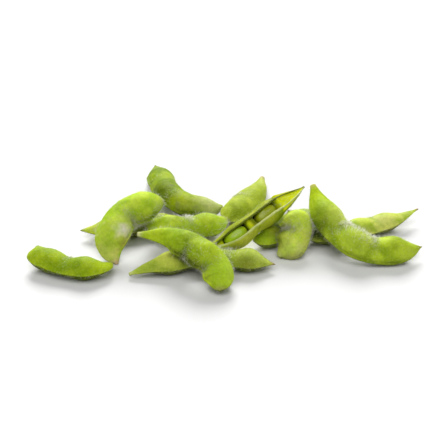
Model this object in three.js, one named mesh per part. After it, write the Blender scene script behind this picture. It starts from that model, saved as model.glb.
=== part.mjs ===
// Edamame pod bundle: thirteen fresh green soybean pods in a loose heap.
// Twelve pods are shut and one has split along its seam over two beans.
// Millimetres, +Z up. The pods lie on the plane z = 0, and the origin is the
// bottom centre of the heap's box. X runs along the heap, from left to right,
// and -Y is its front. Every pod is one solid lofted along a bent centre line.

import * as THREE from 'three';

// ---------------------------------------------------------------- dimensions

const POD_WIDTH = 12.4;        // seam to seam, over a seed
const POD_THICKNESS = 8.6;     // cheek to cheek, over a seed
const WAIST_THICKNESS = 0.6;   // thickness between two seeds, as a share of it
const SEAM_NOTCH = 0.2;        // how far the seed-bearing seam dips at a waist
const BACK_NOTCH = 0.06;       // how far the other seam dips there
const SEED_REACH = 0.4;        // length of a seed's bulge, as a share of the seed spacing
const STALK_RADIUS = 1.4;      // broken-off stalk at the calyx end
const STALK_LENGTH = 5;
const BEAK_RADIUS = 0.45;      // dry point at the other end
const BEAK_LENGTH = 2.5;
const SHOULDER = 14;           // length over which a pod widens from its stalk
const TAPER = 12;              // length over which it narrows to its beak
const CHEEK_POWER = 1.18;      // above 1, the seams are sharper than an ellipse's ends

const WALL = 0.85;             // thickness of the open pod's wall
const BEAN_LENGTH = 10.8;
const BEAN_WIDTH = 8;
const BEAN_THICKNESS = 7;

const REST_REACH = 0.6;        // a pod whose underside comes this near the surface rests on it
const REST_FLAT = 0.3;         // depth pressed flat under such a pod

const RINGS = 24;              // sections along a pod
const SIDES = 14;              // points around a section
const SHELL_SIDES = 11;        // points along the wall of an open section
const END_CROWDING = 0.55;     // 0 spaces the sections evenly, 1 crowds them at the ends

// ---------------------------------------------------------------------- pods
// spine: points of the centre line, from the stalk to the beak.
// lean:  degrees that the flat cheek tips from straight up towards the front.
// seeds: places of the seeds along the pod, from 0 at the stalk to 1 at the beak.
// seam:  1 or -1, the side of the spine that the seed-bearing seam is on.

const CLOSED_PODS = [
  {
    name: 'pod_far_left', color: 0x8a9e24, lean: 0, seeds: [0.27, 0.68], seam: 1,
    spine: [[-75, -32, 6.5], [-73, -36.5, 5.4], [-68.5, -39, 4.5], [-62.5, -42, 4.1],
      [-55, -43.6, 4.1], [-48.5, -42.8, 4.1], [-44.2, -39.6, 3.8]],
    width: 12, shoulder: 5, shoulderPower: 0.6, taper: 14, taperPower: 0.5,
  },
  {
    name: 'pod_leaning_left', color: 0x9db62e, lean: 50, seeds: [0.35, 0.74], seam: -1,
    spine: [[-43, -34.5, 0.8], [-45, -31, 4.8], [-44.8, -26.9, 10], [-40, -21.3, 15.3],
      [-32.7, -15.9, 16.9], [-24.5, -11, 17.1]],
    width: 13.4, taper: 11, shoulderPower: 0.85, taperPower: 0.6, backNotch: 0.01, stalk: 0.8,
  },
  {
    name: 'pod_under_left', color: 0x7d9230, lean: 0, seeds: [0.27, 0.52, 0.76], seam: 1,
    spine: [[-14, -2.1, 2], [-18, -4.8, 2.8], [-25, -8, 3.8], [-35, -9.5, 3.9],
      [-45, -12, 3.9], [-52.5, -13, 3.9], [-59, -13.5, 3.9]],
    width: 11.4, thickness: 8.2, taper: 13, taperPower: 0.7,
  },
  {
    name: 'pod_back_left', color: 0x8ba41b, lean: 15, seeds: [0.2, 0.47, 0.76], seam: 1,
    spine: [[-0.6, 7.3, 3.4], [-7.5, 3.4, 5.8], [-15.5, 0.2, 8.8], [-22.5, 7.8, 9.4], [-27, 25.5, 6.2],
      [-29.1, 39.3, 3.2], [-31.2, 49, 2.2]],
    width: 12.2, shoulder: 9, taper: 18, taperPower: 0.85, notch: 0.06, waist: 0.85,
  },
  {
    name: 'pod_middle', color: 0x8fae2b, lean: 20, seeds: [0.27, 0.72], seam: 1,
    spine: [[-31.5, -15.8, 8.1], [-23.5, -16.9, 7.2], [-14.5, -15.8, 6.4], [-6, -12.6, 5.8], [2, -7.2, 5.5]],
    width: 12.4, thickness: 8.4, shoulder: 9, shoulderPower: 0.5, taper: 10, taperPower: 0.6,
  },
  {
    name: 'pod_back_centre', color: 0xb4c75c, lean: 5, seeds: [0.42, 0.7], seam: -1,
    spine: [[17.2, 32.8, 4.4], [15.1, 22.5, 4.3], [11, 11.5, 4.1], [6, 1, 4.1], [1.5, -6, 3.9]],
    width: 14.8, shoulder: 26, shoulderPower: 0.95, taper: 8, taperPower: 0.7, notch: 0.04,
    waist: 0.85,
  },
  {
    name: 'pod_behind_open', color: 0x6c8a24, lean: 0, seeds: [0.2, 0.53, 0.82], seam: 1,
    spine: [[13, -20, 4], [17.5, -20.5, 4], [24, -14.5, 4], [31, -5.5, 4], [37, -0.8, 3.9],
      [42, 3.6, 3.3]],
    width: 11.2, thickness: 8.2, shoulder: 7, shoulderPower: 0.6, taper: 14,
  },
  {
    name: 'pod_curled', color: 0xa9c750, lean: 40, seeds: [0.31, 0.75], seam: 1,
    spine: [[23.2, -29.6, 1.5], [27.3, -27.2, 4.6], [30, -23, 8.4], [30, -18.5, 11.6], [27.5, -13.5, 13.6]],
    width: 13, thickness: 9.4, shoulder: 7, shoulderPower: 0.7, taper: 6, notch: 0.3, backNotch: 0.02,
    waist: 0.66,
  },
  {
    name: 'pod_right', color: 0x8fb02c, lean: 35, seeds: [0.27, 0.53, 0.8], seam: 1,
    spine: [[38, -4.5, 20], [41, -13.5, 15.4], [46, -22.5, 10.7], [52.5, -30, 8], [60, -32, 5.6],
      [67.5, -31.5, 4.8], [74.5, -31, 4.8], [81, -28.5, 4.6]],
    width: 12.6, thickness: 9, shoulder: 17, taper: 13, taperPower: 0.8,
  },
  {
    name: 'pod_back_right', color: 0xb9ca55, lean: 0, seeds: [0.2, 0.45, 0.7], seam: 1,
    spine: [[35, -16.6, 3.9], [43, -16.8, 4], [53.5, -14, 4.2], [63, -10, 4.2], [73, -5.5, 4.8],
      [83.5, 1, 6]],
    width: 11.8, thickness: 8.2, shoulder: 5, shoulderPower: 0.5, taper: 26,
  },
  {
    name: 'pod_front_over', color: 0x91ab2c, lean: 40, seeds: [0.4, 0.62, 0.84], seam: -1,
    spine: [[-34, -32, 12.6], [-25, -34, 13], [-19.5, -36.5, 13], [-13.5, -41, 12.6],
      [-7.5, -45.5, 11.2], [-3.5, -48, 8.2], [-1.5, -51.5, 4.8], [-1, -58, 2.6]],
    width: 12.4, thickness: 9, shoulder: 26, taper: 7, taperPower: 0.6, notch: 0.12, stalk: 1.1,
  },
  {
    name: 'pod_front_under', color: 0x93a83a, lean: 0, seeds: [0.28, 0.56, 0.83], seam: 1,
    spine: [[-37, -45, 2.2], [-29.5, -42, 3.6], [-22, -40, 4], [-13, -36.5, 4], [-6, -36.5, 4],
      [3, -36.5, 4], [11, -37.5, 4], [20.5, -39.5, 3.5]],
    width: 12.2, thickness: 8.4, shoulder: 21, shoulderPower: 0.78, taper: 11, stalk: 1.1,
  },
];

// The open pod's seam faces the front and up. slit gives its opening, as a
// share of the thickness, at stations from 0 at the stalk to 1 at the beak.
const OPEN_POD = {
  name: 'open_pod_shell', color: 0xa2b43a, slitTowards: [0, -0.71, 0.7], seeds: [0.27, 0.56], seam: 1,
  spine: [[-6.5, -27, 2.2], [1, -25.2, 4.4], [6.5, -23.8, 7.3], [12, -21.2, 10.7], [21.5, -12.5, 13.4],
    [31, -2.2, 15], [34.8, 2.5, 15.9]],
  thickness: 10.4, shoulder: 13, shoulderPower: 0.7, taper: 22, taperPower: 0.85, notch: 0.06,
  waist: 0.74, stalk: 2.2,
  slit: [[0, 0.3], [0.1, 0.46], [0.27, 0.51], [0.42, 0.58], [0.56, 0.48], [0.75, 0.5], [1, 0.5]],
};

const BEANS = [
  { name: 'bean_lower', color: 0x9fc038, at: 0.245, forward: 0.9 },
  { name: 'bean_upper', color: 0x8f9f36, at: 0.525, forward: 0.8 },
];

// --------------------------------------------------------------- small tools

const clamp01 = (value) => Math.min(1, Math.max(0, value));

function lookUp(table, x) {
  const next = table.findIndex(([station]) => station >= x);
  if (next <= 0) {
    return table[0][1];
  }
  const [x0, y0] = table[next - 1];
  const [x1, y1] = table[next];
  return y0 + (y1 - y0) * (x - x0) / (x1 - x0);
}

function spineCurve(pod) {
  const points = pod.spine.map((point) => new THREE.Vector3(...point));
  const curve = new THREE.CatmullRomCurve3(points, false, 'centripetal');
  curve.arcLengthDivisions = 400;
  return curve;
}

// Unit vectors across a pod at one station: along the spine, towards the
// seed-bearing seam and out of the cheek.
function crossFrame(pod, curve, u) {
  const along = curve.getTangentAt(u);
  const towardsSeam = new THREE.Vector3();
  if (pod.slitTowards) {
    towardsSeam.set(...pod.slitTowards);
    towardsSeam.addScaledVector(along, -towardsSeam.dot(along)).normalize();
  } else {
    const lean = THREE.MathUtils.degToRad(pod.lean);
    const cheek = new THREE.Vector3(0, -Math.sin(lean), Math.cos(lean));
    towardsSeam.crossVectors(cheek, along).normalize();
  }
  const outOfCheek = new THREE.Vector3().crossVectors(along, towardsSeam);
  return { centre: curve.getPointAt(u), along, towardsSeam, outOfCheek };
}

// 1 over a seed, falling towards 0 at the waists between seeds.
function seedFullness(pod, u) {
  const spacing = (pod.seeds.at(-1) - pod.seeds[0]) / (pod.seeds.length - 1);
  const emptiness = pod.seeds.map((seed) => 1 - Math.exp(-(((u - seed) / (SEED_REACH * spacing)) ** 2)));
  return 1 - emptiness.reduce((product, value) => product * value, 1);
}

// Half widths on both seams and half thickness at the station u.
function podSection(pod, u, length) {
  const fromStalk = u * length;
  const fromBeak = length - fromStalk;
  const shoulder = Math.sin(Math.PI / 2 * clamp01(fromStalk / (pod.shoulder ?? SHOULDER)));
  const taper = Math.sin(Math.PI / 2 * clamp01(fromBeak / (pod.taper ?? TAPER)));
  const swell = shoulder ** (pod.shoulderPower ?? 0.8) * taper ** (pod.taperPower ?? 0.9);
  const stalk = (pod.stalk ?? STALK_RADIUS) * Math.exp(-((fromStalk / STALK_LENGTH) ** 2));
  const beak = BEAK_RADIUS * Math.exp(-((fromBeak / BEAK_LENGTH) ** 2));
  const core = stalk + beak;
  const hollow = 1 - seedFullness(pod, u);
  const halfWidth = (pod.width ?? POD_WIDTH) / 2 * swell;
  const halfThickness = (pod.thickness ?? POD_THICKNESS) / 2 * swell ** 1.15;
  const waist = 1 - (1 - (pod.waist ?? WAIST_THICKNESS)) * hollow;
  const seamSide = Math.hypot(halfWidth * (1 - (pod.notch ?? SEAM_NOTCH) * hollow), core);
  const backSide = Math.hypot(halfWidth * (1 - (pod.backNotch ?? BACK_NOTCH) * hollow), core);
  return {
    plus: pod.seam > 0 ? seamSide : backSide,
    minus: pod.seam > 0 ? backSide : seamSide,
    cheek: Math.hypot(halfThickness * waist, core),
  };
}

// A point of the section's outline: x towards the seam, y out of the cheek.
function outlinePoint(section, angle) {
  const cos = Math.cos(angle);
  const sin = Math.sin(angle);
  const x = cos * (cos > 0 ? section.plus : section.minus);
  const y = Math.sign(sin) * Math.abs(sin) ** CHEEK_POWER * section.cheek;
  return new THREE.Vector2(x, y);
}

function place(frame, point) {
  return frame.centre.clone()
    .addScaledVector(frame.towardsSeam, point.x)
    .addScaledVector(frame.outOfCheek, point.y);
}

function stations() {
  return Array.from({ length: RINGS }, (_, i) => {
    const even = i / (RINGS - 1);
    const crowded = (1 - Math.cos(Math.PI * even)) / 2;
    return crowded * END_CROWDING + even * (1 - END_CROWDING);
  });
}

// Joins rings of points into a skin, and closes both ends with the given caps.
function loft(rings, capTriangles) {
  const size = rings[0].length;
  const positions = rings.flat().flatMap((point) => point.toArray());
  const triangles = [];
  for (let i = 0; i < rings.length - 1; i += 1) {
    for (let j = 0; j < size; j += 1) {
      const k = (j + 1) % size;
      const here = i * size;
      const there = here + size;
      triangles.push(here + j, here + k, there + k, here + j, there + k, there + j);
    }
  }
  const last = (rings.length - 1) * size;
  for (const [a, b, c] of capTriangles) {
    triangles.push(a, c, b, last + a, last + b, last + c);
  }
  const geometry = new THREE.BufferGeometry();
  geometry.setAttribute('position', new THREE.Float32BufferAttribute(positions, 3));
  geometry.setIndex(triangles);
  geometry.computeVertexNormals();
  return geometry;
}

// Lets a pod that nearly touches the surface down onto it, with a small flat.
function settle(rings) {
  const lowest = Math.min(...rings.flat().map((point) => point.z));
  if (lowest > REST_REACH) {
    return;
  }
  for (const point of rings.flat()) {
    point.z = Math.max(point.z - lowest - REST_FLAT, 0);
  }
}

function podMesh(pod, geometry) {
  const material = new THREE.MeshStandardMaterial({ color: pod.color, roughness: 0.55, metalness: 0 });
  const mesh = new THREE.Mesh(geometry, material);
  mesh.name = pod.name;
  return mesh;
}

// -------------------------------------------------------------------- pieces

function closedPod(pod) {
  const curve = spineCurve(pod);
  const length = curve.getLength();
  const rings = stations().map((u) => {
    const frame = crossFrame(pod, curve, u);
    const section = podSection(pod, u, length);
    return Array.from({ length: SIDES }, (_, j) => {
      const angle = 2 * Math.PI * j / SIDES;
      return place(frame, outlinePoint(section, angle));
    });
  });
  settle(rings);
  const caps = [];
  for (let j = 1; j < SIDES - 1; j += 1) {
    caps.push([0, j, j + 1]);
  }
  return podMesh(pod, loft(rings, caps));
}

// The wall of an open section runs from one lip round the back seam to the
// other lip on its outside, and returns on its inside.
function openRing(section, slit, wall) {
  const lipAngle = Math.asin(slit ** (1 / CHEEK_POWER));
  const step = (2 * Math.PI - 2 * lipAngle) / (SHELL_SIDES - 1);
  const outside = Array.from({ length: SHELL_SIDES }, (_, j) => outlinePoint(section, lipAngle + j * step));
  const inside = outside.map((point, j) => {
    const before = outside[Math.max(j - 1, 0)];
    const after = outside[Math.min(j + 1, SHELL_SIDES - 1)];
    const chord = after.clone().sub(before).normalize();
    return new THREE.Vector2(point.x - chord.y * wall, point.y + chord.x * wall);
  });
  return [...outside, ...inside.reverse()];
}

function openPod(pod) {
  const curve = spineCurve(pod);
  const length = curve.getLength();
  const rings = stations().map((u) => {
    const frame = crossFrame(pod, curve, u);
    const section = podSection(pod, u, length);
    const wall = Math.min(WALL, 0.42 * section.cheek);
    return openRing(section, lookUp(pod.slit, u), wall).map((point) => place(frame, point));
  });
  const caps = [];
  const size = 2 * SHELL_SIDES;
  for (let j = 0; j < SHELL_SIDES - 1; j += 1) {
    const inner = size - 1 - j;
    caps.push([j, j + 1, inner], [j + 1, inner - 1, inner]);
  }
  return podMesh(pod, loft(rings, caps));
}

function bean(spec) {
  const frame = crossFrame(OPEN_POD, spineCurve(OPEN_POD), spec.at);
  const geometry = new THREE.SphereGeometry(0.5, 14, 10);
  geometry.scale(BEAN_LENGTH, BEAN_WIDTH, BEAN_THICKNESS);
  const mesh = podMesh(spec, geometry);
  const basis = new THREE.Matrix4().makeBasis(frame.along, frame.towardsSeam, frame.outOfCheek);
  mesh.quaternion.setFromRotationMatrix(basis);
  mesh.position.copy(frame.centre).addScaledVector(frame.towardsSeam, spec.forward);
  return mesh;
}

// ------------------------------------------------------------------ assembly

const bundle = new THREE.Group();
bundle.add(...CLOSED_PODS.map(closedPod));
bundle.add(openPod(OPEN_POD));
bundle.add(...BEANS.map(bean));

bundle.updateMatrixWorld(true);
const box = new THREE.Box3().setFromObject(bundle, true);
const middle = box.getCenter(new THREE.Vector3());
bundle.position.set(-middle.x, -middle.y, -box.min.z);

export default bundle;
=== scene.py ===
"""Looks of the edamame pod bundle: downy skins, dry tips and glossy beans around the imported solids.

Lengths are in millimetres up to make_mesh(), which writes metres.
"""

import math

import bpy
import numpy as np
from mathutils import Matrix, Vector


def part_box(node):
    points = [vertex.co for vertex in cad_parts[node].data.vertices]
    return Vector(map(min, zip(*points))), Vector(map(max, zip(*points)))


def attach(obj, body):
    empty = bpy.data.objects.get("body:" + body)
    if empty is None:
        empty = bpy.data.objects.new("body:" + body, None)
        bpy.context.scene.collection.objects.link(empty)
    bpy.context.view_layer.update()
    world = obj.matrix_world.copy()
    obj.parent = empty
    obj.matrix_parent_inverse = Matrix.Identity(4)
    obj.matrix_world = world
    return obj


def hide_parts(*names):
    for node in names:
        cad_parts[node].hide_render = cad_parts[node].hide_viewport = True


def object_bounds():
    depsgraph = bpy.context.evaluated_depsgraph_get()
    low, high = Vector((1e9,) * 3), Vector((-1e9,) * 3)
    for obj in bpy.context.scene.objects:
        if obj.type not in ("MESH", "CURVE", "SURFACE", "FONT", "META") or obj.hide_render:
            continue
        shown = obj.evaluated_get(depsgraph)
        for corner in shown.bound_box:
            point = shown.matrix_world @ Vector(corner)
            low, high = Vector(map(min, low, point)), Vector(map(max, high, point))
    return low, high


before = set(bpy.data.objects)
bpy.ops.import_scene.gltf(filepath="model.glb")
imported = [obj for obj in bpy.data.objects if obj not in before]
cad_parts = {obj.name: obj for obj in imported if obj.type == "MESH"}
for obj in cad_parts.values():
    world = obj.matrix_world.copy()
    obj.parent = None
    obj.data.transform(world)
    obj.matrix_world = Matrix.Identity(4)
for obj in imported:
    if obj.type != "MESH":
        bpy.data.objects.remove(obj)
cad_box = [list(corner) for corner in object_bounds()]

# ---------------------------------------------------------------- dimensions
# Those of the solids come first. Where no unit is named, a length is in millimetres.

MM = 0.001
HEAP_TOP = cad_box[1][2] / MM
POD_WIDTH = 12.4
POD_THICKNESS = 8.6
WAIST_THICKNESS = 0.6
SEAM_NOTCH = 0.2
BACK_NOTCH = 0.06
SEED_REACH = 0.4
STALK_RADIUS = 1.4
STALK_LENGTH = 5.0
BEAK_RADIUS = 0.45
BEAK_LENGTH = 2.5
SHOULDER, SHOULDER_POWER = 14.0, 0.8
TAPER, TAPER_POWER = 12.0, 0.9
CHEEK_POWER = 1.18
WALL = 0.85
BEAN_SIZE = (10.8, 8, 7)
REST_REACH = 0.6
REST_FLAT = 0.3
CAD_RINGS = 24
CAD_SIDES = 14

SKIN_RINGS = 168         # sections along a pod
SKIN_SIDES = 76          # points around a shut one
OUT_SIDES = 60           # points along the outside of the open one, and as many inside
LIP_SIDES = 5            # points round each of its lips
END_CROWDING = 0.55      # 0 spaces the sections evenly, 1 crowds them at the ends
SEAM_CROWDING = 0.33     # how much the points around a pod crowd at its seams
RADIAN_REACH = 5.5       # what a radian around a pod measures on its skin, roughly

SKIN_INSET = 0.05        # how far the skin draws in before the relief is added
SEAM_RIDGE, SEAM_GROOVE = 0.26, 0.12
BACK_RIDGE, BACK_GROOVE = 0.15, 0.06
DOME_HEIGHT, DOME_REACH = 0.4, 6.2
PUCKER_REACH = 2.0
FOLD_HEIGHT, FOLD_PITCH = 0.13, 1.5
VEIN_HEIGHT, VEIN_PITCH = 0.022, 1.25
LUMP_HEIGHT, DIMPLE_HEIGHT, GRAIN_HEIGHT = 0.11, 0.045, 0.014

# Rings beyond the first and the last section of a shut pod: (share of its width, distance).
# Those of the stalk sink in again as a scar, and those of the beak come to a point.
STALK_RINGS = ((0.3, 0.25), (0.75, 0.28), (0.95, 0.2))
BEAK_RINGS = ((0.7, 0.27), (0.42, 0.585), (0.12, 0.9))

HAIR_LENGTHS = (0.5, 1)
HAIR_RADII = (0.014, 0.021)
HAIR_ROOT = 0.12         # how deep the hairs start in the skin
HAIR_FLOOR = 0.02        # no hair goes lower than this
HAIR_HEADROOM = 0.45     # nor higher than this above the solids
TUFT_LENGTHENING = 1.35
TUFT_THICKENING = 1.6
BARE_UNDERSIDE = 0.25    # no hair grows on skin that is lower than this

BEAN_RINGS, BEAN_SIDES = 56, 64
BEAN_POWER = 2.3         # 2 makes a bean an ellipsoid, more makes it blunter
BEAN_FIT = 0.985         # its size, as a share of the solid bean's

# ------------------------------------------------------------ colours, slots

PALE_FLECK = (0.66, 0.78, 0.16, 1)
YELLOW_FLECK = (0.62, 0.76, 0.02, 1)
BEAN_SCAR = 0xC9D08A
HAIR_TINTS = (0xC2CF7A, 0xFAF6C8)

CLEAR_PODS = ["pod_back_left"]    # yellow flecks instead of pale ones

# --------------------------------------------------------------------- stage

FLOOR_HALF = 2.5         # in metres, as the next one is
CAMERA_DISTANCE = 0.533
CAMERA_ELEVATION = math.radians(30)
CAMERA_LENS = 100
LOOK_OFFSET = (0, -0.9, 0)
PAPER_WHITE = 0.93
SKY_STRENGTH = 0.2

# Suns: name, direction from the heap, strength and spread in degrees.
SUNS = [("key", (-0.05, 0.84, 0.57), 3.4, 30), ("fill", (-0.1, -0.4, 0.9), 1.25, 60)]

# ---------------------------------------------------------------------- pods
# The shape words are those of the solids. pod_leaning_left, pod_back_centre, pod_curled,
# pod_front_over and pod_front_under differ a little in their ends, waists or width, and
# the open pod in its slit near the beak. With its words here pod_front_over's lowest
# point is just above REST_REACH, so it isn't let down on the surface as its solid is.
# skin is (deep, body, pale), and stalk_tint and beak_tint colour the two ends.
# spots are (place along, angle around in degrees, reach, colour, strength). Some are the pod's own
# patches, some painted highlights and painted shade.
# fuzz is the number of hairs, folds how much they favour the waists and the seams, and
# tufts are thicker growths: (place along, angle around, reach, hairs).
# domes is the height of the seed bulges, where it isn't DOME_HEIGHT.

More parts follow.
